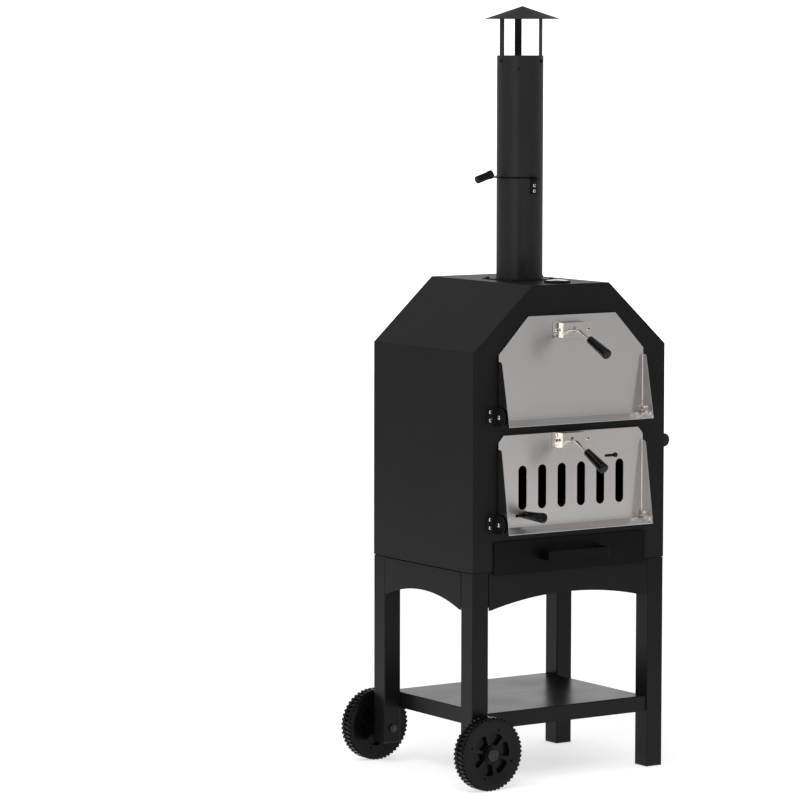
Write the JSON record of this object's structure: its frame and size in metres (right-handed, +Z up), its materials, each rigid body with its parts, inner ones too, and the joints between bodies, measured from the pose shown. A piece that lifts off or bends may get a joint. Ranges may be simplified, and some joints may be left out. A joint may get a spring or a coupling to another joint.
{
  "type": "wood fired pizza oven",
  "caption": "Freestanding black steel pizza oven with bottom-hinged stainless doors, vented fire door, ash drawer, damped chimney, push handle and a wheeled stand with a shelf.",
  "frame": {"origin": "centre of the overall footprint's box, on the ground", "axes": "+Z up, -Y the side with the doors, +X the push handle's side"},
  "size_m": [0.6, 0.5424, 1.571],
  "materials": {
    "black_coat": "satin powder coat",
    "frame_coat": "satin powder coat",
    "stainless": "brushed",
    "zinc": "zinc plated",
    "dark_zinc": "black zinc plated",
    "galvanised": "plain sheet",
    "grip": "glossy",
    "wheel_plastic": "moulded",
    "cap_plastic": "moulded",
    "wire": "black enamel",
    "stone": "matte fireclay",
    "dial": "printed",
    "pointer": "painted",
    "window": "clear"
  },
  "bodies": {
    "oven": {"base_pan": "black_coat", "body_screws": "zinc", "cap_straps": "black_coat", "charcoal_grate": "black_coat", "chimney_cap": "black_coat", "chimney_pipe": "black_coat", "chimney_screws": "black_coat", "cooking_grid": "wire", "damper_bracket": "black_coat", "damper_pivot": "black_coat", "damper_screws": "zinc", "drawer_runners": "galvanised", "flue_plate": "black_coat", "foot_caps": "cap_plastic", "front_panel": "black_coat", "front_rear_aprons": "frame_coat", "hinge_brackets": "black_coat", "hinge_pins": "zinc", "left_legs": "frame_coat", "outer_shell": "black_coat", "pizza_stone": "stone", "push_bar": "black_coat", "push_caps": "cap_plastic", "push_posts": "black_coat", "rear_panel": "black_coat", "right_legs": "frame_coat", "side_aprons": "frame_coat", "side_runners": "black_coat", "stand_bolts": "dark_zinc", "stand_shelf": "frame_coat", "thermometer_case": "black_coat", "thermometer_dial": "dial", "thermometer_glass": "window", "wheel_axles": "dark_zinc", "wheel_spacers": "dark_zinc"},
    "upper_door": {"upper_door_sheet": "stainless", "upper_door_screws": "zinc", "upper_latch_bracket": "zinc"},
    "upper_latch": {"upper_latch_lever": "zinc", "upper_latch_grip": "grip"},
    "lower_door": {"lower_door_sheet": "stainless", "lower_door_screws": "zinc", "lower_latch_bracket": "zinc"},
    "lower_latch": {"lower_latch_lever": "zinc", "lower_latch_grip": "grip"},
    "vent": {"vent_shutter": "black_coat", "vent_grip": "grip", "vent_pins": "black_coat"},
    "ash_drawer": {"ash_tray": "galvanised", "drawer_front": "black_coat", "drawer_handle": "black_coat", "drawer_screws": "zinc"},
    "damper": {"damper_plate": "black_coat", "damper_rod": "zinc", "damper_grip": "grip"},
    "front_wheel_body": {"front_wheel": "wheel_plastic", "front_hub_cap": "cap_plastic"},
    "rear_wheel_body": {"rear_wheel": "wheel_plastic", "rear_hub_cap": "cap_plastic"},
    "needle": {"thermometer_needle": "pointer"}
  },
  "joints": [
    {"name": "upper_door_hinge", "type": "hinge", "parent": "oven", "child": "upper_door", "pos_m": [-0.00502, -0.15033, 0.75], "axis": [1, 0, 0], "range_deg": [0, 75]},
    {"name": "upper_latch_lift", "type": "hinge", "parent": "upper_door", "child": "upper_latch", "pos_m": [-0.00902, -0.14933, 0.919], "axis": [-1, 0, 0], "range_deg": [0, 22]},
    {"name": "lower_door_hinge", "type": "hinge", "parent": "oven", "child": "lower_door", "pos_m": [-0.00502, -0.15033, 0.533], "axis": [1, 0, 0], "range_deg": [0, 75]},
    {"name": "lower_latch_lift", "type": "hinge", "parent": "lower_door", "child": "lower_latch", "pos_m": [-0.01352, -0.14933, 0.695], "axis": [-1, 0, 0], "range_deg": [0, 22]},
    {"name": "vent_slide", "type": "slide", "parent": "lower_door", "child": "vent", "axis": [-1, 0, 0], "range_m": [0, 0.02435]},
    {"name": "damper_swing", "type": "hinge", "parent": "oven", "child": "damper", "pos_m": [-0.00502, -0.01283, 1.2214], "axis": [0, 0, 1], "range_deg": [0, 80]},
    {"name": "ash_drawer_slide", "type": "slide", "parent": "oven", "child": "ash_drawer", "axis": [0, -1, 0], "range_m": [0, 0.24]},
    {"name": "front_wheel_spin", "type": "hinge", "parent": "oven", "child": "front_wheel_body", "pos_m": [-0.22552, -0.16383, 0.0745], "axis": [0, 1, 0], "continuous": true},
    {"name": "rear_wheel_spin", "type": "hinge", "parent": "oven", "child": "rear_wheel_body", "pos_m": [-0.22552, 0.25017, 0.0745], "axis": [0, 1, 0], "continuous": true},
    {"name": "thermometer_needle_turn", "type": "hinge", "parent": "oven", "child": "needle", "pos_m": [-0.00502, -0.08983, 1.0139], "axis": [0, 0, -1], "range_deg": [0, 270]}
  ]
}
